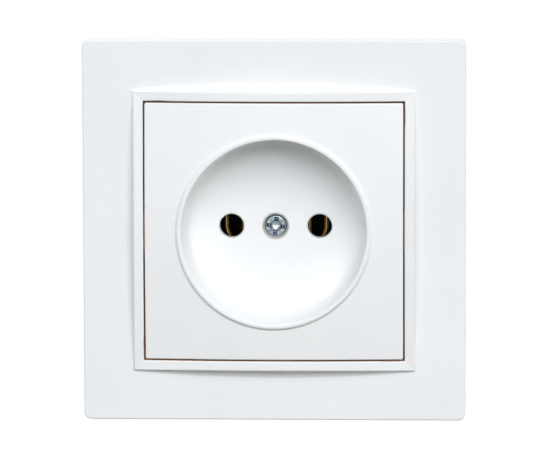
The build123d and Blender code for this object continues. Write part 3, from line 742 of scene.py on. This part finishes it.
def arms_of_cross(x, z):
    """1 within the four arms and 0 outside, with the distances along and across an arm."""
    turned_x = x * math.cos(RECESS_TURN) + z * math.sin(RECESS_TURN)
    turned_z = z * math.cos(RECESS_TURN) - x * math.sin(RECESS_TURN)
    along = np.maximum(np.abs(turned_x), np.abs(turned_z))
    across = np.minimum(np.abs(turned_x), np.abs(turned_z))
    side = np.clip((ARM_HALF_WIDTH - across) / ARM_WALL, 0, 1)
    end = np.clip((ARM_REACH - along) / ARM_WALL, 0, 1)
    return side * end, along, across


def recess_depth(x, z):
    """Depth in mm at a point of the head, the deepest of three forms.

    Arms: along both axes, falling to ARM_DEPTH at their steep ends.
    Bowl: BOWL_DEPTH (1 - (r / BOWL_RADIUS)^2). Marks: lines between the arms."""
    inside, along, across = arms_of_cross(x, z)
    slope = np.clip((along - SLOPE_START) / SLOPE_LENGTH, SHALLOW_SHARE, 1)
    arms = inside * ARM_DEPTH * slope
    bowl = BOWL_DEPTH * np.clip(1 - (np.hypot(x, z) / BOWL_RADIUS) ** 2, 0, 1)
    slant = np.abs(along - across) / math.sqrt(2)
    out_there = (along + across) / math.sqrt(2)
    line = np.clip((MARK_HALF_WIDTH - slant) / (MARK_HALF_WIDTH / 2), 0, 1)
    near_end = np.clip((out_there - MARK_START) / MARK_FADE, 0, 1)
    far_end = np.clip((MARK_END - out_there) / MARK_FADE, 0, 1)
    marks = MARK_DEPTH * line * near_end * far_end
    return np.maximum(np.maximum(arms, bowl), marks)


def recess_shade_share(x, z):
    """How much shade is painted on the plating of an arm: 0 nearer the middle, rising to 1
    towards its end.
    """
    inside, along, _ = arms_of_cross(x, z)
    return inside * np.clip((along - RECESS_SHADE_START) / (RECESS_SHADE_FULL - RECESS_SHADE_START), 0, 1)


def glint_share(x, z):
    """How much highlight is painted in the middle: two spots side by side, a little under the
    middle.
    """
    from_glint = np.hypot(np.abs(x) - GLINT_ASIDE, z - GLINT_HEIGHT)
    return np.clip((GLINT_RADIUS - from_glint) / GLINT_FADE, 0, 1)


two_depths = recess_depth(np.array([0.0, 0.0]), np.array([0.0, MARK_START])).round(2)
print("depth at the middle and in an arm:", two_depths)

# %% Turn the cover screw
screw_low, screw_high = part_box("cover_screw")
SCREW_TOP = -1000 * screw_low[1]
SCREW_TIP = -1000 * screw_high[1]
HEAD_TRIM = 0.08
HEAD_RADIUS = 500 * (screw_high[0] - screw_low[0]) - HEAD_TRIM
HEAD_HEIGHT = 2.4
SHANK_RADIUS = 1.48
EDGE_RADIUS = 0.32
UNDER_HEAD = 0.1
THREAD_DEPTH = 0.26
TIP_LENGTH = 0.5

angles = np.linspace(0, 2 * math.pi, 288, endpoint=False)
top_radii = np.linspace(FIRST_RING, HEAD_RADIUS - EDGE_RADIUS, 72)
round_angles = np.linspace(0, math.pi / 2, 9)[1:]
edge_radii = HEAD_RADIUS - EDGE_RADIUS + EDGE_RADIUS * np.sin(round_angles)
edge_drops = EDGE_RADIUS * (1 - np.cos(round_angles))
seat = SCREW_TOP - HEAD_HEIGHT
shank_heights = np.arange(seat - 0.02, SCREW_TIP, -SHANK_STEP)
outline_radii = np.concatenate([
    top_radii,
    edge_radii,
    [HEAD_RADIUS, SHANK_RADIUS + UNDER_HEAD],
    np.full(len(shank_heights), SHANK_RADIUS),
])
outline_heights = np.concatenate([
    np.full(len(top_radii), SCREW_TOP),
    SCREW_TOP - edge_drops,
    [seat, seat],
    shank_heights,
])

radius = np.repeat(outline_radii[:, None], len(angles), axis=1)
height = np.repeat(outline_heights[:, None], len(angles), axis=1)
turn = np.repeat(angles[None, :], len(outline_radii), axis=0)
is_top = np.arange(len(outline_radii)) < len(top_radii)
is_shank = np.arange(len(outline_radii)) >= len(outline_radii) - len(shank_heights)
top_x = radius[is_top] * np.cos(turn[is_top])
top_z = radius[is_top] * np.sin(turn[is_top])
height[is_top] -= recess_depth(top_x, top_z)
radius[is_shank] -= THREAD_DEPTH * (1 - thread_wave(height[is_shank], turn[is_shank]))
radius[is_shank] *= np.clip((height[is_shank] - SCREW_TIP) / TIP_LENGTH, TIP_SHARE, 1)
rings = np.stack([radius * np.cos(turn), -height, radius * np.sin(turn)], axis=-1) / 1000
first_pole = (0, -(SCREW_TOP - BOWL_DEPTH) / 1000, 0)
last_pole = (0, -SCREW_TIP / 1000, 0)
cover_screw = turned_mesh("cover_screw_turned", rings, first_pole, last_pole)

# %% [markdown]
# ### Painted shade and highlight on its head
#
# The head's plating is painted with shade at the ends of the cross and with a bright highlight
# in the middle. Each of the two is a number at every point of the mesh, which the material reads
# by its name.

# %% Finish of the cover screw
screw_zinc = metal(
    "zinc plated cover screw", tone(184, 197, 203), tone(122, 138, 146),
    clouds=1500.0, scratches=4000.0, rough_low=0.2, rough_high=0.4, depth=0.00004)
vertices = np.zeros(len(cover_screw.data.vertices) * 3)
cover_screw.data.vertices.foreach_get("co", vertices)
spots = 1000 * vertices.reshape(-1, 3)
on_head = spots[:, 1] < -(SCREW_TOP - 2 * EDGE_RADIUS - ARM_DEPTH)


def named_layer(tree, title):
    """Socket that reads the mesh's attribute of that name."""
    reader = tree.nodes.new("ShaderNodeAttribute")
    reader.attribute_name = title
    return reader.outputs["Fac"]


# Painted shade in the ends of the cross, and a painted highlight in the middle of the head.
for title, share, tint in (
    ("painted_recess_shade", recess_shade_share, tone(92, 90, 118)),
    ("painted_glint", glint_share, tone(228, 236, 238)),
):
    values = share(spots[:, 0], spots[:, 2]) * on_head
    layer = cover_screw.data.attributes.new(title, "FLOAT", "POINT")
    layer.data.foreach_set("value", values)
    tint_where(screw_zinc, named_layer(screw_zinc.node_tree, title), tint)
    print(title, "points", int((values > 0.5).sum()))
dress(cover_screw, screw_zinc)
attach(cover_screw, "socket")
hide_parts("cover_screw")

# %% [markdown]
# ## The mouth round the screw
#
# In the picture the head does not stand in a black ring. A pale crescent runs round it at the
# lower right and a dark one at the upper left, as a slanting white wall would show under light
# from above. The solid has a plain round bore there. So a thin white collar fills the bore's
# edge: its inner side slants from the bore's wall down to just outside the head. It is a closed
# ring turned from a four-sided section, and it belongs to the cover's moulding.

# %% Collar between the bore and the head
BORE_RADIUS = 2.75
BORE_CLEARANCE = 0.004
HEAD_CLEARANCE = 0.03
COLLAR_TOP = SCREW_TOP + 0.75
COLLAR_FOOT = SCREW_TOP - 0.3
COLLAR_BOTTOM = SCREW_TOP - 0.6


def hoop_mesh(name, section, columns):
    """Closed ring: the section's (radius, height) points turned once round the axis.

    A point at the angle t is (r cos t, -h, r sin t). Both directions join up, and the signed
    volume says again which way round the quads face outwards."""
    turns = np.linspace(0, 2 * math.pi, columns, endpoint=False)
    r, h = (np.repeat(np.array(section)[:, k, None], columns, axis=1) for k in (0, 1))
    points = np.stack([r * np.cos(turns), -h, r * np.sin(turns)], axis=-1).reshape(-1, 3) / 1000
    index = np.arange(r.size).reshape(r.shape)
    below, beside = np.roll(index, -1, axis=0), np.roll(index, -1, axis=1)
    quads = np.stack([index, beside, np.roll(below, -1, axis=1), below], axis=-1).reshape(-1, 4)
    volume = signed_volume(points, np.vstack([quads[:, [0, 1, 2]], quads[:, [0, 2, 3]]]))
    if volume < 0:
        quads = quads[:, ::-1]
    print(name, len(points), "points,", round(abs(volume) * 1e9, 2), "mm3")
    return new_piece(name, points, quads.tolist(), sharp_angle=25)


collar_section = [
    (BORE_RADIUS - BORE_CLEARANCE, COLLAR_TOP),
    (HEAD_RADIUS + HEAD_CLEARANCE, COLLAR_FOOT),
    (HEAD_RADIUS + HEAD_CLEARANCE, COLLAR_BOTTOM),
    (BORE_RADIUS - BORE_CLEARANCE, COLLAR_BOTTOM),
]
collar = hoop_mesh("screw_hole_collar", collar_section, 192)
# The collar is coloured greyer than the cover.
collar_plastic = white_plastic(
    "greyer cover plastic", tone(206, 203, 198), tone(190, 186, 180), roughness=0.4)
dress(collar, collar_plastic)
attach(collar, "socket")

# %% [markdown]
# ## The claw screws
#
# Turning a claw screw swings its claw against the side of the flush box and then pulls it
# in. Its head is round underneath, so that it can rock in the plate's notch. The surface
# runs over the flat top, down the ball, and along the thread to the tip. The slot is every
# point near the middle line that would stand above the slot's bottom, pressed down to it.

# %% Turn the claw screws
CLAW_X = 23.4
PIVOT = 2.78
BALL_RADIUS = 2.3
BALL_TOP = 4.1
CLAW_SHANK_RADIUS = 1.39
CLAW_TIP = -25.0
CLAW_THREAD_DEPTH = 0.24
CLAW_TIP_LENGTH = 0.6
PLAIN_NECK = 1.2
THREAD_RUN_IN = 0.6
SLOT_HALF_WIDTH = 0.35
SLOT_BOTTOM = 3.2


def claw_screw_rings(centre_x, slot_turn):
    """Rings of a slotted ball-head screw.

    Flat top at BALL_TOP, then the ball's r = sqrt(BALL_RADIUS^2 - (h - PIVOT)^2), then a shank,
    plain for PLAIN_NECK and threaded after that. Within the slot's half width, h is the smaller
    of its own value and SLOT_BOTTOM."""
    columns = np.linspace(0, 2 * math.pi, 112, endpoint=False)
    top_radius = math.sqrt(BALL_RADIUS**2 - (BALL_TOP - PIVOT) ** 2)
    neck = PIVOT - math.sqrt(BALL_RADIUS**2 - CLAW_SHANK_RADIUS**2)
    top = np.linspace(FIRST_RING, top_radius - FIRST_RING, 22)
    ball = np.linspace(BALL_TOP, neck, 26)
    shank = np.arange(neck - 0.05, CLAW_TIP, -SHANK_STEP)
    ball_radii = np.sqrt(BALL_RADIUS**2 - (ball - PIVOT) ** 2)
    radii = np.concatenate([top, ball_radii, np.full(len(shank), CLAW_SHANK_RADIUS)])
    heights = np.concatenate([np.full(len(top), BALL_TOP), ball, shank])
    r = np.repeat(radii[:, None], len(columns), axis=1)
    h = np.repeat(heights[:, None], len(columns), axis=1)
    t = np.repeat(columns[None, :], len(radii), axis=0)
    shank_rows = np.arange(len(radii)) >= len(top) + len(ball)
    threaded = np.clip((neck - PLAIN_NECK - h[shank_rows]) / THREAD_RUN_IN, 0, 1)
    grooves = 1 - thread_wave(h[shank_rows], t[shank_rows])
    r[shank_rows] -= threaded * CLAW_THREAD_DEPTH * grooves
    r[shank_rows] *= np.clip((h[shank_rows] - CLAW_TIP) / CLAW_TIP_LENGTH, TIP_SHARE, 1)
    in_slot = np.abs(r * np.sin(t - slot_turn)) < SLOT_HALF_WIDTH
    h = np.where(in_slot, np.minimum(h, SLOT_BOTTOM), h)
    return np.stack([centre_x + r * np.cos(t), -h, r * np.sin(t)], axis=-1) / 1000


for side, sign, slot_turn in (("left", -1, 0.5), ("right", 1, -0.35)):
    screw_rings = claw_screw_rings(sign * CLAW_X, slot_turn)
    crown_pole = (sign * CLAW_X / 1000, -SLOT_BOTTOM / 1000, 0)
    tip_pole = (sign * CLAW_X / 1000, -CLAW_TIP / 1000, 0)
    claw_screw = turned_mesh(f"claw_screw_{side}_turned", screw_rings, crown_pole, tip_pole)
    dress(claw_screw, zinc)
    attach(claw_screw, f"claw_{side}")
    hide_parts(f"claw_screw_{side}")

# %% [markdown]
# ## Colour management and the sizes
#
# The colours were written as they should look, so the view is Standard, with no curve on top.
# The size of the dressed part is printed beside that of the solids, so that any change the
# looks made to it would show.

# %% Standard view, size and finish
scene.view_settings.view_transform = "Standard"

new_low, new_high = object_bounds()
sizes = {
    "cad": [[float(v) for v in cad_low], [float(v) for v in cad_high]],
    "visual": [[float(v) for v in new_low], [float(v) for v in new_high]],
}
for title, corners in sizes.items():
    print(title, "box in mm", [[round(1000 * v, 2) for v in corner] for corner in corners])
